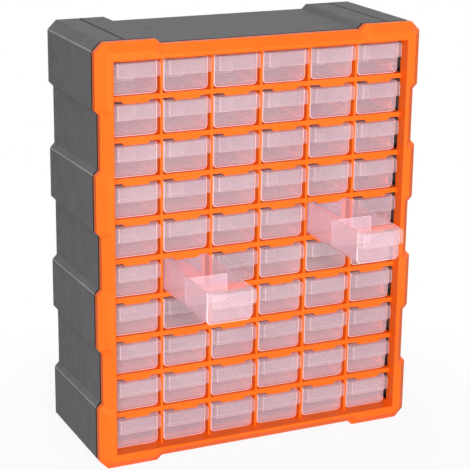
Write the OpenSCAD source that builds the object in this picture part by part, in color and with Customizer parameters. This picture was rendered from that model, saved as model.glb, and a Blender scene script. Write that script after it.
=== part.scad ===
// Parts bin cabinet: a dark grey casing behind an orange front frame, nine
// orange shelf plates, and ten rows of six clear drawers that slide out.
// Millimetres. +Z is up and the drawers face -Y. X is centred on the width, Y is
// centred between the casing's back and the fronts of the drawers that are out,
// and Z is zero on the surface that the cabinet stands on.

/* [Cabinet] */
// Width over the corner blocks
cab_w = 380; // [375:1:400]
// Height over the corner blocks
cab_h = 470; // [468:1:480]
// Depth from the front face of the frame to the back of the casing
cab_d = 157; // [155:1:175]

/* [Stepped outline] */
// How far the outline steps in between two blocks
recess = 5.2; // [3:0.1:6]
// Length of the ramp from a block down to a recess
ramp = 5.5; // [4:0.1:8]
// Leg of the 45 degree cut across each corner
corner_cut = 10; // [8:0.5:12]
// Width of a corner block along the top and the bottom
corner_block_w = 67.5; // [55:0.5:80]
// Height of a corner block up the side
corner_block_h = 70; // [60:1:75]
// Height of a middle block on the side
side_block_h = 60.6; // [50:0.1:65]
// How much each end of a block draws in from the seam to the back
block_draft = 2.6; // [0:0.1:4]

/* [Casing] */
// Wall thickness of the casing and of the frame's skins
wall = 2.5; // [2:0.1:3]
// Width of the ledges that carry the edges of the shelf plates
ledge_w = 4; // [3:0.5:5]
// Thickness of a ledge
ledge_t = 2; // [1.5:0.5:3]

/* [Front frame] */
// Depth of the frame from its front face to the seam with the casing
frame_d = 16.5; // [15:0.5:18]
// Depth of the bevel round the frame's front edge
bevel_d = 9; // [6:0.5:10]
// Width of that bevel, seen from the front
bevel_w = 9.5; // [7:0.5:11]
// Chamfer round the front edge of the opening
mouth_cut = 1.5; // [0.5:0.5:2.5]
// How far the frame's lip reaches into the casing
lip_d = 6; // [4:0.5:8]

/* [Grid] */
// Number of columns
cols = 6; // [6:1:6]
// Number of rows
rows = 10; // [10:1:10]
// Distance from one column to the next
col_pitch = 57.4; // [57:0.1:58]
// Distance from one row to the next
row_pitch = 43.85; // [43.5:0.05:43.85]
// Height of the opening's lower edge
sill_z = 17.4; // [17:0.1:18]
// How far the grid lies behind the front face
grid_recess = 14; // [12:0.5:15]
// Depth of the grid's bars
grid_d = 22; // [18:1:24]
// Height of a horizontal bar
bar_h = 5.2; // [5:0.1:5.5]
// Width of an upright bar
rib_w = 2.8; // [2.4:0.1:3]
// How far a drawer's stop hangs below its bar
stop_drop = 3; // [2.5:0.1:3]
// Width of a stop at its lower edge
stop_w = 26; // [20:1:30]
// Depth of a stop
stop_d = 4; // [3:0.5:4]

/* [Shelf plates] */
// Thickness of a shelf plate
plate_t = 2; // [1.5:0.5:3]
// Height of the guide rails between the columns
rail_h = 8; // [5:0.5:9]

/* [Drawers] */
// Width of a drawer behind its front
bin_w = 50.8; // [49:0.1:51]
// Length from the lower front face to the outside of the rear wall
bin_l = 118; // [112:1:120]
// Height of the front wall
bin_front_h = 35; // [34:0.1:35.2]
// Height of the rear wall, which the stop catches
bin_rear_h = 37.3; // [36.8:0.1:37.8]
// Thickness of a drawer's walls
bin_t = 1.3; // [1:0.1:1.5]
// Thickness of a drawer's floor
floor_t = 2; // [1.5:0.1:2.2]
// How far the lower front face sits behind the grid's front
face_set = 3.5; // [3:0.5:4]
// How far the pull stands out from the lower front face
pull_d = 8; // [7:0.5:9]
// Height of the pull
pull_h = 16; // [14:0.5:18]
// Width over the pull's ears
pull_w = 54.5; // [53:0.1:54.6]
// Width of the pull's flat front, between its slanted ends
pull_flat_w = 42; // [38:1:46]
// Thickness of the ears at their outer edges
ear_t = 1; // [0.8:0.1:1.2]
// Cut across the ears' upper corners
ear_cut = 4; // [2:0.5:5]
// Cut across the tray's lower corners
tray_cut = 4; // [2:0.5:5]
// Thickness of the loose divider
divider_t = 1; // [0.8:0.1:1.2]
// Height of the divider
divider_h = 32; // [28:0.5:33]
// Gap under a drawer
glide = 0.2; // [0.1:0.1:0.4]
// How far a drawer slides from shut to its stop
travel = 115.5; // [105:0.5:115.5]
// Row and column of the drawers that are out in the rest pose
pulled_out = [[5, 5], [6, 2]];

/* [Hidden] */
eps = 0.01;
// how far one piece of a moulding runs into the next
embed = 1;
// how far the drawers that are out stand in front of the frame
reach = len(pulled_out) > 0 ? travel + pull_d - grid_recess - face_set : 0;
y_front = (reach - cab_d) / 2;
y_back = y_front + cab_d;
y_edge = y_front + bevel_d;
y_seam = y_front + frame_d;
y_grid = y_front + grid_recess;
y_grid_back = y_grid + grid_d;
y_cavity_back = y_back - wall;
y_in_back = y_back - wall / 2;

// the frame's outer skin is thick enough to carry its lip
skin_t = wall + 0.8;
lip_gap = 0.3;
lip_t = 2;
lip_root = 4;
// the opening's lower and upper walls go on behind the seam, a little thinner
return_t = wall - 0.5;

// the opening that holds the grid
open_w = cols * col_pitch - 0.4;
open_h = rows * row_pitch - bar_h;
head_z = sill_z + open_h;

// the recesses and blocks up each side share what the corner blocks leave
side_recesses = 3;
side_blocks = side_recesses - 1;
recess_h = (cab_h - 2 * corner_block_h - side_blocks * side_block_h) / side_recesses;

// the narrowest width inside the casing, between two recesses
cavity_w = cab_w - 2 * (recess + wall);
side_clear = 2.8;
plate_w = cavity_w - 2 * side_clear;
plate_l = y_cavity_back - y_grid_back - 1;
rail_l = plate_l - 4;
foot_rib_w = 2.4;
foot_rib_x = 15;

// the closed drawers' lower front faces
y_face = y_grid + face_set;
ear_gap = 0.4;
ear_y = face_set + ear_gap;
divider_y = bin_l / 2;
divider_gap = 0.5;
divider_lift = 0.1;
divider_flare = 0.3;
// the cut across the tray's lower inner corners leaves the wall as thick there
inner_cut = tray_cut + bin_t * (sqrt(2) - 1) - floor_t;
guide_w = 0.8;
guide_fit = 0.15;
shared_row = rows;
shared_cols = [2 : 5];

function col_x(c) = (c - (cols + 1) / 2) * col_pitch;
function floor_z(r) = sill_z + (rows - r) * row_pitch;
function rib_x(i) = (i - cols / 2) * col_pitch;
function in_recess(z) =
    let (above = (z - corner_block_h) % (recess_h + side_block_h))
    above > 0 && above < recess_h && z < cab_h - corner_block_h;
// x in the middle of the side wall's thickness, and z in the middle of the floor's
function side_wall_x(z) = cab_w / 2 - wall / 2 - (in_recess(z) ? recess : 0);
function floor_wall_z(x) = wall / 2 + (abs(x) < cab_w / 2 - corner_block_w ? recess : 0);
function is_out(r, c) = len([for (p = pulled_out) if (p == [r, c]) p]) > 0;
function is_shared(r, c) = r == shared_row && c >= shared_cols[0] && c <= shared_cols[2];
function drawer_name(r, c) = str("drawer_r", r, "c", c);
shared_name = "drawers_r10c2_to_r10c5";

single_drawers = [for (r = [1 : rows]) for (c = [1 : cols]) if (!is_shared(r, c)) [r, c]];

// The stepped outline is made of nine convex cells: the body, four corner blocks
// and four side blocks. inset moves every edge of the outline in
// by the same distance, and draft draws in the ends of the blocks alone. root
// is how deep a block's ramps run into the body, below the recess.
root = recess + 4;
block_z = [
    for (i = [0 : side_blocks - 1])
        corner_block_h + recess_h + side_block_h / 2 + i * (recess_h + side_block_h)
];

// How far a block's end moves in, along the side that it stands on
function end_shift(inset, draft) = draft + inset * tan(atan2(recess, ramp) / 2);

function body_cell(inset) =
    let (side = cab_w / 2 - recess - inset, low = recess + inset, high = cab_h - recess - inset)
    [[-side, low], [side, low], [side, high], [-side, high]];

// A corner block, as distances [in from the side, in from the end].
function corner_cell(inset, draft) =
    let (
        shift = end_shift(inset, draft),
        cut = inset + corner_cut - inset * (2 - sqrt(2)),
        flare = root * ramp / recess,
        along = corner_block_w - shift,
        up = corner_block_h - shift
    )
    [
        [cut, inset],
        [inset, cut],
        [inset, up],
        [inset + root, up + flare],
        [along + flare, inset + root],
        [along, inset]
    ];

// A side block, as [in from the side, up from its middle].
function side_cell(inset, draft) =
    let (half = side_block_h / 2 - end_shift(inset, draft), flare = root * ramp / recess)
    [[inset, half], [inset, -half], [inset + root, -half - flare], [inset + root, half + flare]];

function cells(inset, draft) =
    concat(
        [body_cell(inset)],
        [
            for (side = [-1, 1]) for (end = [0, 1])
                [
                    for (p = corner_cell(inset, draft))
                        [side * (cab_w / 2 - p[0]), end * cab_h + (1 - 2 * end) * p[1]]
                ]
        ],
        [
            for (side = [-1, 1]) for (z = block_z)
                [for (p = side_cell(inset, draft)) [side * (cab_w / 2 - p[0]), z + p[1]]]
        ]
    );

// The opening of the front frame, grown by a margin on all four sides.
function mouth(grow) =
    let (side = open_w / 2 + grow, low = sill_z - grow, high = head_z + grow)
    [[-side, low], [side, low], [side, high], [-side, high]];

// A slab of one outline in the XZ plane, from y0 back to y1.
module slab(y0, y1, points) {
    translate([0, y1, 0])
        rotate([90, 0, 0])
            linear_extrude(y1 - y0)
                polygon(points);
}

// A convex solid through matching outlines, each [y, points], front to back.
module loft(rings) {
    hull()
        for (k = [0 : len(rings) - 1])
            let (front = k == 0 ? rings[k][0] : rings[k][0] - eps)
                slab(front, front + eps, rings[k][1]);
}

// The stepped form through a row of rings, each [y, inset, draft].
module form(rings) {
    count = len(cells(0, 0));
    for (i = [0 : count - 1])
        loft([for (ring = rings) [ring[0], cells(ring[1], ring[2])[i]]]);
}

// A box from its lowest to its highest corner.
module block(low, high) {
    translate(low) cube(high - low);
}

// Ledges on both side walls carry the edges of the nine shelf plates. Each one
// ends inside the wall, which steps out where the outline has a block.
module plate_ledges() {
    tip_x = plate_w / 2 - ledge_w;
    for (r = [1 : rows - 1])
        for (side = [0, 1])
            mirror([side, 0, 0])
                translate([0, 0, floor_z(r) - plate_t])
                    block([tip_x, y_grid_back + 1, -ledge_t], [side_wall_x(floor_z(r)), y_in_back, 0]);
}

// Low walls stand on the casing's floor: a pair under each drawer of the
// bottom row, and taller ones between them that guide it.
module floor_walls() {
    for (c = [1 : cols])
        for (side = [-1, 1])
            floor_wall(col_x(c) + side * foot_rib_x, foot_rib_w, sill_z);
    for (i = [0 : cols])
        floor_wall(rib_x(i), rib_w, sill_z + rail_h);
}

module floor_wall(x, width, top) {
    block([x - width / 2, y_grid_back + 0.5, floor_wall_z(x)], [x + width / 2, y_in_back, top]);
}

module case_shell() {
    color("dimgray") {
        difference() {
            form([[y_seam, 0, 0], [y_back, 0, block_draft]]);
            form([[y_seam - 1, wall, 0], [y_cavity_back, wall, block_draft]]);
        }
        plate_ledges();
        floor_walls();
    }
}

// The hollow skin of the bezel: a bevelled front, an outer wall and an inner
// wall round the opening. It is open at the back.
module bezel() {
    hollow_front = y_front + wall;
    hollow_inset = skin_t + (y_edge - hollow_front) * bevel_w / bevel_d;
    difference() {
        form([[y_front, bevel_w, 0], [y_edge, 0, 0], [y_seam, 0, 0]]);
        difference() {
            form([[hollow_front, hollow_inset, 0], [y_edge, skin_t, 0], [y_seam + 1, skin_t, 0]]);
            slab(y_front, y_seam + 2, mouth(wall));
        }
    }
}

// Behind the seam the opening's lower and upper walls go on to the grid's back.
module returns() {
    for (z = [sill_z, head_z])
        block(
            [-open_w / 2 - embed, y_seam - embed, z - return_t],
            [open_w / 2 + embed, y_grid_back - embed / 2, z + return_t]
        );
}

// The opening itself, with a chamfer round its front edge.
module opening() {
    slab(y_front - 1, y_grid_back + 1, mouth(0));
    loft([[y_front - 1, mouth(mouth_cut + 1)], [y_front + mouth_cut + 1, mouth(-1)]]);
}

// A lip all round the back of the frame plugs into the casing's mouth.
module lip() {
    outside = wall + lip_gap;
    inside = outside + lip_t;
    difference() {
        form([[y_seam - lip_root, outside, 0], [y_seam + lip_d, outside, 0]]);
        form([[y_seam - lip_root - 1, inside, 0], [y_seam + lip_d + 1, inside, 0]]);
    }
}

// One stop, centred under its bar, with sloped ends.
module stop() {
    translate([0, y_grid, 0])
        rotate([-90, 0, 0])
            linear_extrude(stop_d)
                polygon([
                    [-stop_w / 2 - stop_drop - embed, -embed],
                    [stop_w / 2 + stop_drop + embed, -embed],
                    [stop_w / 2, stop_drop],
                    [-stop_w / 2, stop_drop]
                ]);
}

// Upright and horizontal bars divide the opening into the drawers' cells.
module grid() {
    for (i = [1 : cols - 1])
        translate([rib_x(i), 0, 0])
            block([-rib_w / 2, y_grid, sill_z - embed], [rib_w / 2, y_grid_back, head_z + embed]);
    for (r = [1 : rows - 1])
        translate([0, 0, floor_z(r)])
            block([-open_w / 2 - embed, y_grid, -bar_h], [open_w / 2 + embed, y_grid_back, 0]);
    for (r = [1 : rows])
        for (c = [1 : cols])
            translate([col_x(c), 0, floor_z(r) + row_pitch - bar_h])
                stop();
}

module front_frame() {
    color("darkorange") {
        difference() {
            union() {
                bezel();
                lip();
                returns();
            }
            opening();
        }
        grid();
    }
}

// One shelf plate with a guide rail on each line between the columns. The top
// of the plate is at z = 0.
module shelf_plate() {
    block([-plate_w / 2, y_grid_back, -plate_t], [plate_w / 2, y_grid_back + plate_l, 0]);
    for (i = [0 : cols])
        translate([rib_x(i), 0, 0])
            block([-rib_w / 2, y_grid_back, -plate_t / 2], [rib_w / 2, y_grid_back + rail_l, rail_h]);
}

module shelf_plates() {
    color("orangered")
        for (r = [1 : rows - 1])
            translate([0, 0, floor_z(r)])
                shelf_plate();
}

// A box's section with its lower corners cut, as wide at the top as top_half.
function cut_box(half, top_half, low, high, cut) = [
    [-half + cut, low],
    [half - cut, low],
    [half, low + cut],
    [top_half, high],
    [-top_half, high],
    [-half, low + cut]
];

// The open tray of a drawer. y = 0 is the lower front face, z = 0 the bottom.
module tray() {
    half = bin_w / 2;
    inner = half - bin_t;
    difference() {
        intersection() {
            rotate([90, 0, 90])
                linear_extrude(bin_w, center = true)
                    polygon([[0, 0], [bin_l, 0], [bin_l, bin_rear_h], [0, bin_front_h]]);
            slab(0, bin_l, cut_box(half, half, 0, bin_rear_h, tray_cut));
        }
        slab(bin_t, bin_l - bin_t, cut_box(inner, inner, floor_t, bin_rear_h + 1, inner_cut));
    }
}

// The pull: a hood across the top of the front, open below for a finger. Its
// ends slant back to two ears, which shut against the grid.
module pull() {
    low = bin_front_h - pull_h;
    half = bin_w / 2;
    ear = pull_w / 2;
    flat = pull_flat_w / 2;
    difference() {
        union() {
            intersection() {
                translate([0, 0, low])
                    linear_extrude(pull_h)
                        polygon([
                            [-ear, -ear_y],
                            [-ear, -ear_y - ear_t],
                            [-flat, -pull_d],
                            [flat, -pull_d],
                            [ear, -ear_y - ear_t],
                            [ear, -ear_y]
                        ]);
                slab(-pull_d - 1, 0, [
                    [-ear, low],
                    [ear, low],
                    [ear, bin_front_h - ear_cut],
                    [ear - ear_cut, bin_front_h],
                    [-ear + ear_cut, bin_front_h],
                    [-ear, bin_front_h - ear_cut]
                ]);
            }
            block([-half, -ear_y - eps, low], [half, bin_t, bin_front_h]);
        }
        translate([0, 0, low - 1])
            linear_extrude(pull_h + 1 - bin_t)
                polygon([
                    [-half + bin_t, 0],
                    [-half + bin_t, -ear_y],
                    [-flat + bin_t / 2, -pull_d + bin_t],
                    [flat - bin_t / 2, -pull_d + bin_t],
                    [half - bin_t, -ear_y],
                    [half - bin_t, 0]
                ]);
    }
}

// Two pairs of upright ribs on the tray's side walls hold the divider.
module divider_guides() {
    inner = bin_w / 2 - bin_t;
    gap = divider_t / 2 + guide_fit;
    for (side = [-1, 1])
        for (face = [-1, 1])
            translate([side * inner, divider_y + face * (gap + guide_w / 2), 0])
                block([-guide_w, -guide_w / 2, tray_cut + 1], [guide_w, guide_w / 2, divider_h - 2]);
}

// The loose divider is a little wider at its top than at its foot.
module divider() {
    foot = bin_w / 2 - bin_t - divider_gap;
    slab(
        divider_y - divider_t / 2,
        divider_y + divider_t / 2,
        cut_box(foot, foot + divider_flare, floor_t + divider_lift, divider_h, inner_cut)
    );
}

module drawer(r, c) {
    translate([col_x(c), y_face - (is_out(r, c) ? travel : 0), floor_z(r) + glide]) {
        color("mistyrose") {
            tray();
            pull();
            divider_guides();
        }
        color("lavenderblush") divider();
    }
}

module shared_drawers() {
    for (c = shared_cols)
        drawer(shared_row, c);
}

case_shell();
front_frame();
shelf_plates();
for (d = single_drawers)
    drawer(d[0], d[1]);
shared_drawers();
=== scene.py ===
# %% [markdown]
# # Parts bin cabinet
# This cabinet holds screws and other small parts. It has a dark moulded casing,
# an orange front frame with a grid of sixty windows, nine orange shelf plates,
# and a clear drawer in each window, with a loose divider in it. The construction
# model fixes where each piece is, and this lesson gives the pieces their looks.

# %% Load the frame
from math import radians

import bmesh
import bpy
from mathutils import Euler, Matrix, Vector


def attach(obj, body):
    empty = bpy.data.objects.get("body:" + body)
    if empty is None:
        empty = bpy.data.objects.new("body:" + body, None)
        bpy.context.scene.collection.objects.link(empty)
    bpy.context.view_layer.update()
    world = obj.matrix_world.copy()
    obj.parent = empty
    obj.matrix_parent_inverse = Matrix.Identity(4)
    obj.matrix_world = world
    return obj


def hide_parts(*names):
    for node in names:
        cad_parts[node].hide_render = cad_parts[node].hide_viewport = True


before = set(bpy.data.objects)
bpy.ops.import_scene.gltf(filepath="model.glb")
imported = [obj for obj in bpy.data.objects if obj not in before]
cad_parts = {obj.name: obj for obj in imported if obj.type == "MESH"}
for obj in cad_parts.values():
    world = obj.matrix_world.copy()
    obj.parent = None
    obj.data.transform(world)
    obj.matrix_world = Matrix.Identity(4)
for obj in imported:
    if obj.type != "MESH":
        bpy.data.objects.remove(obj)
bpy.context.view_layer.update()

# %% [markdown]
# ## Sizes
# All lengths are in metres. They repeat the sizes of the construction model, so
# that each new piece takes exactly the place of the plain solid it stands for.
# Writing a size as a number of millimetres keeps it readable.
#
# The last few say how edges are rounded: how far in from the outside an edge
# still belongs to the casing's skin or the frame's rim, from what length on the
# casing's corners get a paler finish, a painted highlight, how large the
# roundings are, and which share of the frame's rounding its face, rim and grid
# get.

# %% Sizes of the cabinet
MM = 0.001
TINY = 0.02 * MM
CASE_W, CASE_H = 380 * MM, 470 * MM
FRONT_Y = -25.5 * MM
EDGE_Y = FRONT_Y + 9 * MM
SEAM_Y = FRONT_Y + 16.5 * MM
SEAM_GAP, SEAM_SINK = 3 * MM, 1.2 * MM
SEAM_END = SEAM_Y + SEAM_GAP + 0.1 * MM
GROOVE_X, GROOVE_HALF, GROOVE_DEEP = 154 * MM, 1 * MM, 1 * MM
GROOVE_BORDER, STEP_MOST = 4 * MM, 6.5 * MM
# Slots of the casing's paler corner finish, a painted highlight, and of its near-black finish, painted
# shade.
PAINTED_HIGHLIGHT, PAINTED_SHADE = 1, 2
GRID_Y = FRONT_Y + 14 * MM
FACE_Y = GRID_Y + 3.5 * MM
COLS, ROWS = 6, 10
COL_PITCH, ROW_PITCH = 57.4 * MM, 43.85 * MM
SILL_Z = 17.4 * MM
TRAVEL = 115.5 * MM
GLIDE = 0.2 * MM
PULLED_OUT = {(5, 5), (6, 2)}
SHARED = "drawers_r10c2_to_r10c5"
SKIN, RIM_W, LONG_EDGE = 9 * MM, 12 * MM, 100 * MM
CASING_ROUND, HIGHLIGHT_ROUND, FRAME_ROUND = 0.7 * MM, 0.8 * MM, 1.2 * MM
FACE_SHARE, RIM_SHARE, GRID_SHARE = 1.0, 0.7, 0.25

# %% [markdown]
# ## Camera and light
# A long lens stands to the left of the cabinet and a little above it, so that
# the front, the left side and the top all show. The world gives even light from
# all round, as the walls of a studio do, and two large lamps add a soft
# direction. Together they stay near a level at which a colour looks as written.
# The camera and glossy reflections see the world brighter, as plain white.

# %% Camera
CAMERA_AT = (-742.0 * MM, -1539.0 * MM, 769.5 * MM)
CAMERA_TURN = (-25.032, -17.191, 0.737)  # heading, pitch and roll in degrees
SENSOR, LENS = 36.0, 124.2  # in millimetres, as a Blender camera has them
heading, pitch, roll = (radians(a) for a in CAMERA_TURN)
camera_data = bpy.data.cameras.new("camera")
camera_data.sensor_width = SENSOR
camera_data.lens = LENS
camera = bpy.data.objects.new("camera", camera_data)
bpy.context.scene.collection.objects.link(camera)
level = Euler((radians(90) + pitch, 0, heading), "XYZ").to_matrix().to_4x4()
camera.matrix_world = Matrix.Translation(CAMERA_AT) @ level @ Matrix.Rotation(roll, 4, "Z")
bpy.context.scene.camera = camera
print("the camera is", round(Vector(CAMERA_AT).length, 2), "m from the origin")


# %% Lamps
def soft_lamp(name, place, target, width, height, watts):
    """A large area lamp that points at a target."""
    data = bpy.data.lights.new(name, "AREA")
    data.shape = "RECTANGLE"
    data.size, data.size_y = width, height
    data.energy = watts
    lamp = bpy.data.objects.new(name, data)
    bpy.context.scene.collection.objects.link(lamp)
    lamp.location = place
    lamp.rotation_euler = (Vector(target) - Vector(place)).to_track_quat("-Z", "Y").to_euler()


LAMP_TARGET = (0, 0, 0.24)
soft_lamp("key_lamp", (-0.35, -2.25, 1.25), LAMP_TARGET, width=0.8, height=0.6, watts=48)
soft_lamp("fill_lamp", (-1.3, -2.1, 0.5), LAMP_TARGET, width=0.9, height=0.5, watts=27)

# %% World
ROOM_LIGHT, SEEN_WHITE = 0.25, 1.0
world = bpy.data.worlds.new("studio")
bpy.context.scene.world = world
world.use_nodes = True
nodes, links = world.node_tree.nodes, world.node_tree.links
nodes.clear()
path = nodes.new("ShaderNodeLightPath")
room = nodes.new("ShaderNodeBackground")
room.inputs["Color"].default_value = (1.0, 1.0, 1.0, 1.0)
room.inputs["Strength"].default_value = ROOM_LIGHT
white = nodes.new("ShaderNodeBackground")
white.inputs["Color"].default_value = (1.0, 1.0, 1.0, 1.0)
white.inputs["Strength"].default_value = SEEN_WHITE
seen = nodes.new("ShaderNodeMath")
seen.operation = "MAXIMUM"
links.new(path.outputs["Is Camera Ray"], seen.inputs[0])
links.new(path.outputs["Is Glossy Ray"], seen.inputs[1])
mix = nodes.new("ShaderNodeMixShader")
links.new(seen.outputs[0], mix.inputs["Fac"])
links.new(room.outputs[0], mix.inputs[1])
links.new(white.outputs[0], mix.inputs[2])
links.new(mix.outputs[0], nodes.new("ShaderNodeOutputWorld").inputs["Surface"])
bpy.context.scene.view_settings.view_transform = "Standard"

# %% [markdown]
# ## Materials
# Every plastic here is one Principled shader with two noise patterns on Object
# coordinates, which keep them in place on each piece. Broad noise shifts the
# colour a little, as in real mouldings. Fine noise makes some spots glossier
# than others, and feeds a Bump node, for the grain of the mould.


# %% The plastic recipe
def plastic(name, colours, roughness, grain, depth, patch=14.0, specular=0.5):
    """A moulded plastic. grain is the fine noise's scale and depth its height in metres."""
    material = bpy.data.materials.new(name)
    material.use_nodes = True
    nodes, links = material.node_tree.nodes, material.node_tree.links
    shader = nodes["Principled BSDF"]
    shader.inputs["Specular IOR Level"].default_value = specular
    place = nodes.new("ShaderNodeTexCoord")

    def noise(scale, detail):
        node = nodes.new("ShaderNodeTexNoise")
        node.inputs["Scale"].default_value = scale
        node.inputs["Detail"].default_value = detail
        links.new(place.outputs["Object"], node.inputs["Vector"])
        return node

    broad = noise(patch, 3.0)
    ramp = nodes.new("ShaderNodeValToRGB")
    ramp.color_ramp.elements[0].position, ramp.color_ramp.elements[1].position = 0.3, 0.7
    for element, colour in zip(ramp.color_ramp.elements, colours):
        element.color = (*colour, 1.0)
    links.new(broad.outputs["Fac"], ramp.inputs["Fac"])
    links.new(ramp.outputs["Color"], shader.inputs["Base Color"])
    fine = noise(grain, 4.0)
    gloss = nodes.new("ShaderNodeMapRange")
    gloss.inputs["From Min"].default_value, gloss.inputs["From Max"].default_value = 0.35, 0.65
    gloss.inputs["To Min"].default_value, gloss.inputs["To Max"].default_value = roughness
    links.new(fine.outputs["Fac"], gloss.inputs["Value"])
    links.new(gloss.outputs["Result"], shader.inputs["Roughness"])
    bump = nodes.new("ShaderNodeBump")
    bump.inputs["Strength"].default_value = 0.6
    bump.inputs["Distance"].default_value = depth
    links.new(fine.outputs["Fac"], bump.inputs["Height"])
    links.new(bump.outputs["Normal"], shader.inputs["Normal"])
    return material


def let_light_through(material, seen, shading):
    """Makes a clear plastic: seen is how much of the view it hides, and shading how much light."""
    least_facing = 0.15
    nodes, links = material.node_tree.nodes, material.node_tree.links

    def math(operation, a, b):
        node = nodes.new("ShaderNodeMath")
        node.operation = operation
        for socket, value in zip(node.inputs, (a, b)):
            if isinstance(value, float):
                socket.default_value = value
            else:
                links.new(value, socket)
        return node.outputs[0]

    slant = nodes.new("ShaderNodeLayerWeight")
    slant.inputs["Blend"].default_value = 0.5
    facing = math("SUBTRACT", 1.0, slant.outputs["Facing"])
    longer = math("DIVIDE", 1.0, math("MAXIMUM", facing, least_facing))
    hidden = math("SUBTRACT", 1.0, math("POWER", 1.0 - seen, longer))
    path = nodes.new("ShaderNodeLightPath")
    either = math("MAXIMUM", path.outputs["Is Shadow Ray"], path.outputs["Is Diffuse Ray"])
    alpha = nodes.new("ShaderNodeMix")
    alpha.data_type = "FLOAT"
    links.new(either, alpha.inputs["Factor"])
    links.new(hidden, alpha.inputs["A"])
    alpha.inputs["B"].default_value = shading
    links.new(alpha.outputs["Result"], nodes["Principled BSDF"].inputs["Alpha"])


# %% [markdown]
# The casing is grey polypropylene with a dull spark-eroded grain. Its long top
# corners have a paler finish, a painted highlight, and its narrow seam and
# grooves a near-black one, painted shade. The frame and the shelf plates are
# orange, a little shinier.
#
# The drawers are clear but a little hazy: each surface hides a part of what is
# behind it, which the shader's Alpha says. A wall seen at a slant is longer to
# look through, so Layer Weight makes it hazier there. Shadow and diffuse rays
# pass almost freely, so that light reaches the bottoms of the drawers. The rims
# catch light along the whole wall, and a denser, paler finish of their own
# paints that glow onto them as a painted highlight.

# %% The finishes
casing_grey = plastic("casing_grey", ((0.142, 0.142, 0.15), (0.17, 0.169, 0.178)),
                      (0.5, 0.72), 900, 0.2 * MM, patch=60, specular=0.25)
# A paler grey for the casing's long top corners: a painted highlight.
casing_painted_highlight = plastic("casing_painted_highlight", ((0.26, 0.26, 0.26), (0.38, 0.38, 0.37)),
                        (0.4, 0.5), 700, 0.05 * MM, patch=60)
# Near black for the seam and the grooves: painted shade.
casing_painted_shade = plastic("casing_painted_shade", ((0.016, 0.016, 0.017), (0.024, 0.023, 0.024)),
                        (0.8, 0.95), 900, 0.1 * MM, specular=0.1)
frame_orange = plastic("frame_orange", ((0.93, 0.132, 0.006), (0.96, 0.15, 0.01)),
                       (0.34, 0.44), 700, 0.03 * MM, specular=0.25)
drawer_clear = plastic("drawer_clear", ((0.94, 0.6, 0.72), (1.0, 0.68, 0.79)),
                       (0.2, 0.3), 160, 0.02 * MM, patch=12)
let_light_through(drawer_clear, 0.17, 0.02)
drawer_front = plastic("drawer_front", ((0.86, 0.59, 0.67), (1.0, 0.74, 0.79)),
                       (0.22, 0.32), 420, 0.02 * MM, patch=12)
let_light_through(drawer_front, 0.115, 0.02)
# Paler and denser for the rims: a painted highlight for the light that they catch.
drawer_edge_highlight = plastic("drawer_edge_highlight", ((1.0, 0.6, 0.62), (1.0, 0.7, 0.71)),
                      (0.2, 0.3), 420, 0.02 * MM, patch=30)
let_light_through(drawer_edge_highlight, 0.8, 0.05)
finishes = (casing_grey, casing_painted_highlight, casing_painted_shade, frame_orange,
            drawer_clear, drawer_front, drawer_edge_highlight)
print(len(finishes), "plastics are ready")


# %% [markdown]
# ## Working with bmesh
# Each shape below starts as a simple solid and is changed by bmesh operators.
# A few helpers keep the cells short. One picks the faces, edges or vertices that
# lie in given limits, three round, cut and extrude what was picked, and two turn
# a finished bmesh into a mesh and an object.


# %% Helpers for modelling
def within(items, low, high):
    """The faces, edges or vertices of items whose vertices all lie between two corners."""
    def inside(vert):
        return all(a - TINY <= c <= b + TINY for a, c, b in zip(low, vert.co, high))

    return [item for item in items if all(map(inside, getattr(item, "verts", None) or [item]))]


def round_edges(bm, edges, radius, segments, finish=None):
    """Rounds edges, and gives the new faces a finish if one is named."""
    made = bmesh.ops.bevel(bm, geom=edges, offset=radius, offset_type="OFFSET", segments=segments,
                           profile=0.5, affect="EDGES", material=-1, clamp_overlap=True)
    if finish is not None:
        for face in made["faces"]:
            face.material_index = finish


def cut(bm, faces, place, normal):
    """Cuts faces along a plane, and nothing else."""
    geom = dict.fromkeys(item for face in faces for item in (face, *face.edges, *face.verts))
    bmesh.ops.bisect_plane(bm, geom=list(geom), plane_co=place, plane_no=normal, dist=TINY / 10)


def extrude(bm, faces, move):
    """Extrudes faces as one region, moves them and returns them."""
    made = bmesh.ops.extrude_face_region(bm, geom=faces)["geom"]
    bmesh.ops.delete(bm, geom=faces, context="FACES")
    bmesh.ops.translate(bm, vec=move, verts=[v for v in made if isinstance(v, bmesh.types.BMVert)])
    return [f for f in made if isinstance(f, bmesh.types.BMFace)]


def to_mesh(bm, name, finishes, smooth_below=40):
    """Makes a mesh of a bmesh, shaded smooth but for edges that turn by more than an angle."""
    bmesh.ops.recalc_face_normals(bm, faces=bm.faces)
    mesh = bpy.data.meshes.new(name)
    bm.to_mesh(mesh)
    bm.free()
    stored = mesh.attributes.get("custom_normal")
    if stored:
        mesh.attributes.remove(stored)
    for finish in finishes:
        mesh.materials.append(finish)
    mesh.shade_smooth()
    mesh.set_sharp_from_angle(angle=radians(smooth_below))
    return mesh


def to_object(mesh, name):
    """Puts a mesh into the scene, with its object at the origin."""
    obj = bpy.data.objects.new(name, mesh)
    bpy.context.scene.collection.objects.link(obj)
    return obj


# %% [markdown]
# ## A drawer's tray
# The tray starts as a cube of the drawer's size. Its rear is a little higher,
# since that wall catches on the frame's stop. Rounding the two lower edges
# before hollowing keeps the wall even: insetting the top face by the wall's
# thickness and pushing it down leaves a box with four walls and a floor.

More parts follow.
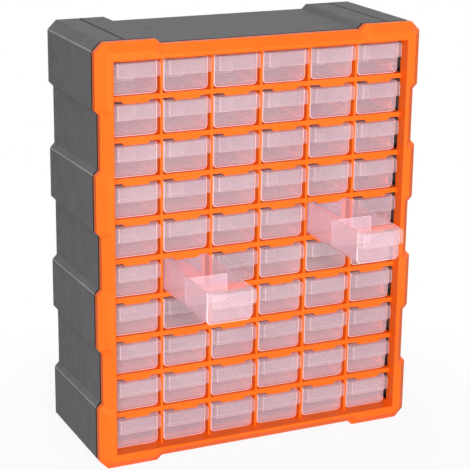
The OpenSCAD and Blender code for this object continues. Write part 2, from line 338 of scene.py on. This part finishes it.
# %% Sizes of a drawer
BIN_W, BIN_L = 50.8 * MM, 118 * MM
BIN_FRONT_H, BIN_REAR_H = 35 * MM, 37.3 * MM
BIN_T, FLOOR_T = 1.3 * MM, 2 * MM
TRAY_ROUND = 5 * MM
PULL_H, PULL_D = 16 * MM, 8 * MM
PULL_W, PULL_FLAT_W = 54.5 * MM, 42 * MM
EAR_Y, EAR_T, EAR_ROUND = 3.9 * MM, 1 * MM, 4 * MM
NECK_W = 46.4 * MM
FRONT_ROUND, PULL_ROUND = 1.1 * MM, 0.7 * MM
GRIPS, GRIP_TOP, GRIP_STEP = 5, 1.6 * MM, 2.3 * MM
GRIP_H, GRIP_DEEP = 0.5 * MM, 0.25 * MM
DIVIDER_Y, DIVIDER_T, DIVIDER_H = 59 * MM, 1 * MM, 32 * MM
DIVIDER_GAP, DIVIDER_LIFT = 0.5 * MM, 0.1 * MM
DIVIDER_TAPER, DIVIDER_ROUND = 0.3 * MM, 0.3 * MM
GUIDE_W, GUIDE_GAP, GUIDE_DROP = 0.8 * MM, 0.15 * MM, 2 * MM
# EDGE is the slot of the denser, paler rim finish, a painted highlight.
CLEAR, EDGE, FRONT = 0, 1, 2


# %% Hollow the tray
def hollow_tray():
    bm = bmesh.new()
    bmesh.ops.create_cube(bm, size=1.0)
    bmesh.ops.scale(bm, vec=(BIN_W, BIN_L, BIN_FRONT_H), verts=bm.verts)
    bmesh.ops.translate(bm, vec=(0, BIN_L / 2, BIN_FRONT_H / 2), verts=bm.verts)
    rear_top = within(bm.verts, (-1, BIN_L, BIN_FRONT_H), (1, BIN_L, BIN_FRONT_H))
    bmesh.ops.translate(bm, vec=(0, 0, BIN_REAR_H - BIN_FRONT_H), verts=rear_top)
    for side in (-BIN_W / 2, BIN_W / 2):
        round_edges(bm, within(bm.edges, (side, 0, 0), (side, BIN_L, 0)), TRAY_ROUND, 4)
    (top,) = within(bm.faces, (-1, 0, BIN_FRONT_H), (1, BIN_L, BIN_REAR_H))
    rim = bmesh.ops.inset_region(bm, faces=[top], thickness=BIN_T, use_even_offset=True)["faces"]
    # The top rim gets the rim finish, a painted highlight.
    for face in rim:
        face.material_index = EDGE
    (floor,) = bmesh.ops.extrude_discrete_faces(bm, faces=[top])["faces"]
    bmesh.ops.scale(bm, vec=(1, 1, 0), verts=floor.verts)
    bmesh.ops.translate(bm, vec=(0, 0, FLOOR_T), verts=floor.verts)
    inner = BIN_W / 2 - BIN_T
    for side in (-inner, inner):
        long_edge = within(bm.edges, (side, BIN_T, FLOOR_T), (side, BIN_L - BIN_T, FLOOR_T))
        round_edges(bm, long_edge, TRAY_ROUND - BIN_T, 4)
    return bm


tray = hollow_tray()
print("the hollow tray has", len(tray.faces), "faces")


# %% [markdown]
# Two pairs of thin ribs on the side walls hold the divider. Cutting the wall's
# inner face at the ribs' edges and pushing the strips between the cuts inwards
# grows the ribs out of the wall, so the tray stays one closed skin.

# %% Divider guides
def add_divider_guides(bm):
    inner = BIN_W / 2 - BIN_T
    foot, head = FLOOR_T + TRAY_ROUND - BIN_T, DIVIDER_H - GUIDE_DROP
    near = DIVIDER_T / 2 + GUIDE_GAP
    for side in (-inner, inner):
        low, high = (side, BIN_T, foot), (side, BIN_L - BIN_T, BIN_REAR_H)
        cut(bm, within(bm.faces, low, high), (0, 0, head), (0, 0, 1))
        high = (side, BIN_L - BIN_T, head)
        for y in (-near - GUIDE_W, -near, near, near + GUIDE_W):
            cut(bm, within(bm.faces, low, high), (0, DIVIDER_Y + y, 0), (0, 1, 0))
        for y in (-near - GUIDE_W, near):
            strip = within(bm.faces, (side, DIVIDER_Y + y, foot), (side, DIVIDER_Y + y + GUIDE_W, head))
            extrude(bm, strip, (-GUIDE_W if side > 0 else GUIDE_W, 0, 0))


add_divider_guides(tray)
print("with its guides it has", len(tray.faces))


# %% [markdown]
# ## The drawer's pull
# A hood across the top of the front is the pull: a finger hooks under it. It is
# extruded from the tray's front in three steps, and the middle step is pushed
# out sideways to make two ears, which shut against the grid. The last step
# narrows, so the hood's ends slant. An inset from below hollows the hood.

# %% Extrude the pull
def add_pull(bm):
    low_z = BIN_FRONT_H - PULL_H
    neck, ear, flat = NECK_W / 2, PULL_W / 2, PULL_FLAT_W / 2
    cut(bm, within(bm.faces, (-1, 0, 0), (1, 0, BIN_FRONT_H)), (0, 0, low_z), (0, 0, 1))
    for side in (-neck, neck):
        cut(bm, within(bm.faces, (-1, 0, low_z), (1, 0, BIN_FRONT_H)), (side, 0, 0), (1, 0, 0))
    front = within(bm.faces, (-neck, 0, low_z), (neck, 0, BIN_FRONT_H))
    front = extrude(bm, front, (0, -EAR_Y, 0))
    extrude(bm, front, (0, -EAR_T, 0))
    for side in (-1, 1):
        low, high = (side * neck, -EAR_Y - EAR_T, low_z), (side * neck, -EAR_Y, BIN_FRONT_H)
        extrude(bm, within(bm.faces, low, high), (side * (ear - neck), 0, 0))
        tip = within(bm.edges, (side * ear, -1, BIN_FRONT_H), (side * ear, 1, BIN_FRONT_H))
        round_edges(bm, tip, EAR_ROUND, 4)
    plate = within(bm.faces, (-ear, -EAR_Y - EAR_T, 0), (ear, -EAR_Y - EAR_T, 1))
    extrude(bm, plate, (0, -(PULL_D - EAR_Y - EAR_T), 0))
    for side in (-1, 1):
        ends = [v for v in within(bm.verts, (-1, -PULL_D, 0), (1, -PULL_D, 1))
                if side * v.co.x > neck + TINY]
        upper = [v for v in ends if v.co.z > low_z + TINY]
        lower = [v for v in ends if v.co.z <= low_z + TINY]
        bmesh.ops.pointmerge(bm, verts=upper, merge_co=(side * flat, -PULL_D, BIN_FRONT_H))
        bmesh.ops.translate(bm, vec=(side * (flat - ear), 0, 0), verts=lower)
        inner = [v for v in within(bm.verts, (-1, -PULL_D, 0), (1, -PULL_D, 1))
                 if abs(side * v.co.x - neck) < TINY]
        bmesh.ops.translate(bm, vec=(side * (flat - MM - neck), 0, 0), verts=inner)


add_pull(tray)
print("with its pull it has", len(tray.faces))


# %% Hollow the pull from below
def hollow_pull(bm):
    low_z = BIN_FRONT_H - PULL_H
    neck = NECK_W / 2
    under = within(bm.faces, (-neck, -PULL_D, low_z), (neck, 0, low_z))
    lip = bmesh.ops.inset_region(bm, faces=under, thickness=BIN_T, use_even_offset=True)["faces"]
    # The lip under the pull gets the rim finish, a painted highlight.
    for face in lip:
        face.material_index = EDGE
    rise = PULL_H - BIN_T
    roof = extrude(bm, under, (0, 0, rise))
    print("under the pull:", len(under), "faces went up", round(rise / MM, 1), "mm as", len(roof))


hollow_pull(tray)

# %% [markdown]
# Fine grip lines run across the pull, and the plastic's outer corners are
# softly rounded. Bevelling the outline of the lower front also gives it the
# bright line that such a corner shows, as it gets the denser edge finish, a
# painted highlight. The ends and lower edge of the pull and the outer faces of
# the ears get that finish too.


# %% Grip lines and soft corners
def finish_tray(bm):
    low_z = BIN_FRONT_H - PULL_H
    for count in range(GRIPS):
        z = BIN_FRONT_H - GRIP_TOP - GRIP_STEP * count
        band = ((-1, -PULL_D, z - GRIP_H), (1, -PULL_D, z))
        for level in (z, z - GRIP_H):
            faces = within(bm.faces, (-1, -PULL_D, low_z), (1, -PULL_D, BIN_FRONT_H))
            cut(bm, faces, (0, 0, level), (0, 0, 1))
        extrude(bm, within(bm.faces, *band), (0, GRIP_DEEP, 0))
    half = BIN_W / 2
    front = within(bm.edges, (-1, 0, 0), (1, 0, BIN_FRONT_H))
    outline = [e for e in front if any(f.normal.y > -0.5 for f in e.link_faces)
               and (abs(sum(v.co.x for v in e.verts)) / 2 > half - TINY
                    or sum(v.co.z for v in e.verts) / 2 < TRAY_ROUND)]
    round_edges(bm, outline, FRONT_ROUND, 3, EDGE)
    flat = PULL_FLAT_W / 2
    ends = [e for side in (-flat, flat)
            for e in within(bm.edges, (side, -PULL_D, low_z), (side, -PULL_D, BIN_FRONT_H))]
    ends += within(bm.edges, (-1, -PULL_D, low_z), (1, -PULL_D, low_z))
    round_edges(bm, ends, PULL_ROUND, 2, EDGE)
    for face in within(bm.faces, (-1, -PULL_D, 0), (1, BIN_T, 1)):
        if face.material_index == CLEAR:
            face.material_index = FRONT
    ear = PULL_W / 2
    for face in within(bm.faces, (-1, -EAR_Y - EAR_T, low_z), (1, -EAR_Y, 1)):
        if abs(face.calc_center_median().x) > ear - EAR_ROUND / 2 and abs(face.normal.y) < 0.5:
            face.material_index = EDGE
    areas = {CLEAR: 0.0, EDGE: 0.0, FRONT: 0.0}
    for face in bm.faces:
        areas[face.material_index] += face.calc_area() / MM ** 2
    print("clear, rim and front areas in mm2:", [round(area) for area in areas.values()])


bmesh.ops.recalc_face_normals(tray, faces=tray.faces)
finish_tray(tray)
tray_mesh = to_mesh(tray, "drawer_tray", (drawer_clear, drawer_edge_highlight, drawer_front))
print("a finished tray has", len(tray_mesh.polygons), "faces")


# %% [markdown]
# ## The divider
# A loose plate stands between the guides and makes two compartments. It is
# slightly wider at the top, and all its rims are rounded and have the edge
# finish, a painted highlight.

# %% Make the divider
def divider_plate():
    bm = bmesh.new()
    foot = BIN_W / 2 - BIN_T - DIVIDER_GAP
    low_z = FLOOR_T + DIVIDER_LIFT
    bmesh.ops.create_cube(bm, size=1.0)
    bmesh.ops.scale(bm, vec=(2 * foot, DIVIDER_T, DIVIDER_H - low_z), verts=bm.verts)
    bmesh.ops.translate(bm, vec=(0, DIVIDER_Y, (DIVIDER_H + low_z) / 2), verts=bm.verts)
    head = within(bm.verts, (-1, -1, DIVIDER_H), (1, 1, DIVIDER_H))
    bmesh.ops.scale(bm, vec=((foot + DIVIDER_TAPER) / foot, 1, 1), verts=head)
    for side in (-foot, foot):
        round_edges(bm, within(bm.edges, (side, -1, low_z), (side, 1, low_z)), TRAY_ROUND - BIN_T, 4)
    bmesh.ops.recalc_face_normals(bm, faces=bm.faces)
    rims = [e for e in bm.edges if sum(abs(f.normal.y) > 0.9 for f in e.link_faces) == 1]
    round_edges(bm, rims, DIVIDER_ROUND, 2, EDGE)
    for face in bm.faces:
        if abs(face.normal.y) < 0.9:
            face.material_index = EDGE
    return to_mesh(bm, "drawer_divider", (drawer_clear, drawer_edge_highlight))


divider_mesh = divider_plate()
print("a divider has", len(divider_mesh.polygons), "faces")

# %% [markdown]
# ## Sixty drawers
# All drawers come from one mould, so each is a copy of the two meshes, moved to
# its place in the mesh itself. Weighted normals keep the flat walls flat beside
# the small roundings. Each tray stands for its drawer's solid and rides on its
# body. The four middle drawers of the bottom row share one body.


# %% Place the drawers
def weighted(mesh):
    """The mesh with its normals weighted by face area."""
    obj = to_object(mesh, "mould")
    obj.modifiers.new("normals", "WEIGHTED_NORMAL").keep_sharp = True
    obj.modifiers.new("triangles", "TRIANGULATE").keep_custom_normals = True
    evaluated = obj.evaluated_get(bpy.context.evaluated_depsgraph_get())
    result = bpy.data.meshes.new_from_object(evaluated)
    bpy.data.objects.remove(obj)
    return result


def copy_of(mesh, name, offset):
    copy = mesh.copy()
    copy.name = name
    copy.transform(Matrix.Translation(offset))
    return to_object(copy, name)


tray_mesh, divider_mesh = weighted(tray_mesh), weighted(divider_mesh)
shared_started = False
for row in range(1, ROWS + 1):
    for col in range(1, COLS + 1):
        out = TRAVEL if (row, col) in PULLED_OUT else 0
        offset = ((col - (COLS + 1) / 2) * COL_PITCH, FACE_Y - out,
                  SILL_Z + (ROWS - row) * ROW_PITCH + GLIDE)
        shared = row == ROWS and 1 < col < COLS
        body = SHARED if shared else f"drawer_r{row}c{col}"
        tray_piece = copy_of(tray_mesh, f"tray_r{row}c{col}", offset)
        divider_piece = copy_of(divider_mesh, f"divider_r{row}c{col}", offset)
        for piece in (tray_piece, divider_piece):
            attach(piece, body)
        if not shared or not shared_started:
            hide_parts(body)
        shared_started = shared_started or shared
print(ROWS * COLS, "drawers are in place")

# %% [markdown]
# ## Casing and frame
# The plain solids of these two mouldings already have the right steps, ramps
# and bars, but their edges are sharp, and real mouldings have none. A copy of
# the solid is merged into one skin, its flat triangles are dissolved into whole
# faces for the cuts and then split again, and a Bevel modifier rounds the edges,
# each by its own weight. The solid also stores normals for its old faces. They
# no longer fit the new ones and would spoil the search for sharp edges, so
# to_mesh removes them first.


# %% Clean copies
FLAT_TURN, ROUND_TURN, SHARP_TURN = 0.3, 12, 25  # in degrees


def clean_copy(node):
    """A bmesh of a node's solid, with merged vertices and whole flat faces."""
    bm = bmesh.new()
    bm.from_mesh(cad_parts[node].data)
    bmesh.ops.remove_doubles(bm, verts=bm.verts, dist=TINY / 4)
    bmesh.ops.dissolve_limit(bm, angle_limit=radians(FLAT_TURN), verts=bm.verts, edges=bm.edges)
    return bm


def weigh_edges(bm, weight_of):
    """Gives each edge a bevel weight, and returns how many have one."""
    name, layers = "bevel_weight_edge", bm.edges.layers.float
    layer = layers.get(name) or layers.new(name)
    count = 0
    for edge in bm.edges:
        turn = edge.calc_face_angle(0.0) if len(edge.link_faces) == 2 else 0.0
        weight = weight_of(edge) if turn > radians(ROUND_TURN) else 0.0
        edge[layer] = weight
        count += weight > 0
    return count


def add_bevel(obj, width, segments):
    bevel = obj.modifiers.new("soft_edges", "BEVEL")
    bevel.limit_method = "WEIGHT"
    bevel.width = width
    bevel.segments = segments
    bevel.harden_normals = True
    obj.modifiers.new("triangles", "TRIANGULATE").keep_custom_normals = True


# %% [markdown]
# The casing gets soft edges outside and keeps the inside sharp. Two shallow
# grooves run along its top, one in each corner block: three cuts and a small
# push downwards make each one, and a near-black finish paints shade into them.
# Its two long top corners are rounded with a paler finish, a painted highlight.
#
# Where the casing meets the frame there is a seam. It is a band of the skin that
# is sunk by about a millimetre and painted near black, as painted shade, and it
# stays unbevelled: a Bevel modifier limits all its widths by the shortest edge
# that it may cross, so one narrow strip with a weight would leave the whole
# casing sharp.

# %% The casing
def sink_seam(bm):
    """Sinks a narrow band of the casing's outside next to the frame, and paints it near black as shade
    for the seam.
    """
    for y in (SEAM_Y + SEAM_GAP, SEAM_END):
        outside = [f for f in within(bm.faces, (-1, SEAM_Y, -1), (1, 1, 1)) if faces_out(f)]
        cut(bm, outside, (0, y, 0), (0, 1, 0))
    bm.normal_update()
    # The seam's faces get the near-black finish: painted shade.
    strips = [f for f in within(bm.faces, (-1, SEAM_Y, -1), (1, SEAM_END, 1)) if faces_out(f)]
    for face in strips:
        face.material_index = PAINTED_SHADE
    band = within(strips, (-1, SEAM_Y, -1), (1, SEAM_Y + SEAM_GAP, 1))
    inward = {}
    for face in band:
        for vert in face.verts:
            inward.setdefault(vert, set()).add(tuple(round(c, 3) for c in face.normal))
    for vert, normals in inward.items():
        mean = sum((Vector(n) for n in normals), Vector()) / len(normals)
        bmesh.ops.translate(bm, vec=-mean * SEAM_SINK / mean.length_squared, verts=[vert])


def faces_out(face):
    """Whether a face of the casing's ring looks away from the middle of the cabinet."""
    middle = face.calc_center_median() - Vector((0, 0, CASE_H / 2))
    outermost = max(abs(middle.x) - CASE_W / 2, abs(middle.z) - CASE_H / 2) > -STEP_MOST
    return abs(face.normal.y) < 0.5 and outermost and face.normal.dot(middle) > 0


def casing_piece():
    bm = clean_copy("case_shell")
    sink_seam(bm)
    for x in (-GROOVE_X, GROOVE_X):
        for step in (-GROOVE_HALF, 0, GROOVE_HALF):
            faces = within(bm.faces, (-1, SEAM_END, CASE_H), (1, 1, CASE_H))
            cut(bm, faces, (x + step, 0, 0), (1, 0, 0))
        # Each groove's faces get the near-black finish: painted shade.
        for face in within(bm.faces, (x - GROOVE_HALF, SEAM_END, CASE_H), (x + GROOVE_HALF, 1, CASE_H)):
            face.material_index = PAINTED_SHADE
        middle = within(bm.verts, (x, SEAM_END, CASE_H), (x, 1, CASE_H))
        bmesh.ops.translate(bm, vec=(0, 0, -GROOVE_DEEP), verts=middle)
    # The two long top corners are rounded, and their new faces get the paler finish: a painted
    # highlight.
    outer = [e for e in within(bm.edges, (-1, SEAM_Y, -1), (1, 1, 1))
             if all(abs(abs(v.co.x) - CASE_W / 2) < 0.2 * MM for v in e.verts)
             and abs(e.verts[0].co.y - e.verts[1].co.y) > LONG_EDGE
             and any(f.normal.z > 0.3 for f in e.link_faces)]
    round_edges(bm, outer, HIGHLIGHT_ROUND, 2, PAINTED_HIGHLIGHT)
    bmesh.ops.triangulate(bm, faces=bm.faces)

    def weight(edge):
        middle = (edge.verts[0].co + edge.verts[1].co) / 2
        outside = abs(middle.x) > CASE_W / 2 - SKIN or not SKIN < middle.z < CASE_H - SKIN
        beside = abs(abs(middle.x) - GROOVE_X) < GROOVE_BORDER
        groove = beside and middle.z > CASE_H - 2 * GROOVE_DEEP
        seam = min(v.co.y for v in edge.verts) < SEAM_END + TINY and middle.y < SEAM_END + TINY
        return 1.0 if outside and not groove and not seam else 0.0

    # The edges that this counts as rubbed are the ones with the painted highlight.
    print(weigh_edges(bm, weight), "of the casing's edges are rounded, and", len(outer), "are rubbed")
    mesh = to_mesh(bm, "casing", (casing_grey, casing_painted_highlight, casing_painted_shade), SHARP_TURN)
    casing = to_object(mesh, "casing")
    add_bevel(casing, CASING_ROUND, 3)
    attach(casing, "cabinet")
    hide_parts("case_shell")


casing_piece()


# %% The front frame
def frame_piece():
    bm = clean_copy("front_frame")
    bmesh.ops.triangulate(bm, faces=bm.faces)

    def weight(edge):
        rear = max(v.co.y for v in edge.verts)
        widest = max(abs(v.co.x) for v in edge.verts)
        if rear < FRONT_Y + TINY:
            return FACE_SHARE
        if rear < EDGE_Y + TINY or (rear < SEAM_Y + TINY and widest > CASE_W / 2 - RIM_W):
            return RIM_SHARE
        return GRID_SHARE if rear < GRID_Y + TINY else 0.0

    print(weigh_edges(bm, weight), "of the frame's edges are rounded")
    mesh = to_mesh(bm, "frame", (frame_orange,), SHARP_TURN)
    piece = to_object(mesh, "frame")
    add_bevel(piece, FRAME_ROUND, 2)
    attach(piece, "cabinet")
    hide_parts("front_frame")


frame_piece()

# %% [markdown]
# The shelf plates are thin and nearly hidden, so their plain solids stay, and
# only get the orange finish.

# %% The shelf plates
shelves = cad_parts["shelf_plates"]
shelves.data.materials.clear()
shelves.data.materials.append(frame_orange)

# %% [markdown]
# ## Floor
# The floor is a large pale sheet. Rays from the camera see it glow, wholly so
# away from the cabinet, where it meets the white background. Close by they see
# a small share of the sheet itself, which holds the cabinet's shadow.

# %% The floor
FLOOR_REACH = 12.0
GLOW_NEAR, GLOW_FAR, GLOW_LEAST = 0.2, 0.45, 0.92
floor_bm = bmesh.new()
bmesh.ops.create_grid(floor_bm, x_segments=1, y_segments=1, size=FLOOR_REACH)
floor_material = bpy.data.materials.new("floor_white")
floor_material.use_nodes = True
nodes, links = floor_material.node_tree.nodes, floor_material.node_tree.links
paper = nodes["Principled BSDF"]
paper.inputs["Base Color"].default_value = (0.7, 0.7, 0.7, 1.0)
paper.inputs["Roughness"].default_value = 0.9
paper.inputs["Specular IOR Level"].default_value = 0.0
glow = nodes.new("ShaderNodeEmission")
glow.inputs["Strength"].default_value = 1.0
path = nodes.new("ShaderNodeLightPath")
place = nodes.new("ShaderNodeTexCoord")
away = nodes.new("ShaderNodeVectorMath")
away.operation = "LENGTH"
links.new(place.outputs["Object"], away.inputs[0])
fade = nodes.new("ShaderNodeMapRange")
fade.inputs["From Min"].default_value, fade.inputs["From Max"].default_value = GLOW_NEAR, GLOW_FAR
fade.inputs["To Min"].default_value, fade.inputs["To Max"].default_value = GLOW_LEAST, 1.0
links.new(away.outputs["Value"], fade.inputs["Value"])
share = nodes.new("ShaderNodeMath")
share.operation = "MULTIPLY"
links.new(path.outputs["Is Camera Ray"], share.inputs[0])
links.new(fade.outputs["Result"], share.inputs[1])
mix = nodes.new("ShaderNodeMixShader")
links.new(share.outputs[0], mix.inputs["Fac"])
links.new(paper.outputs[0], mix.inputs[1])
links.new(glow.outputs[0], mix.inputs[2])
links.new(mix.outputs[0], nodes["Material Output"].inputs["Surface"])
floor_mesh = to_mesh(floor_bm, "floor", (floor_material,))
floor = to_object(floor_mesh, "floor")
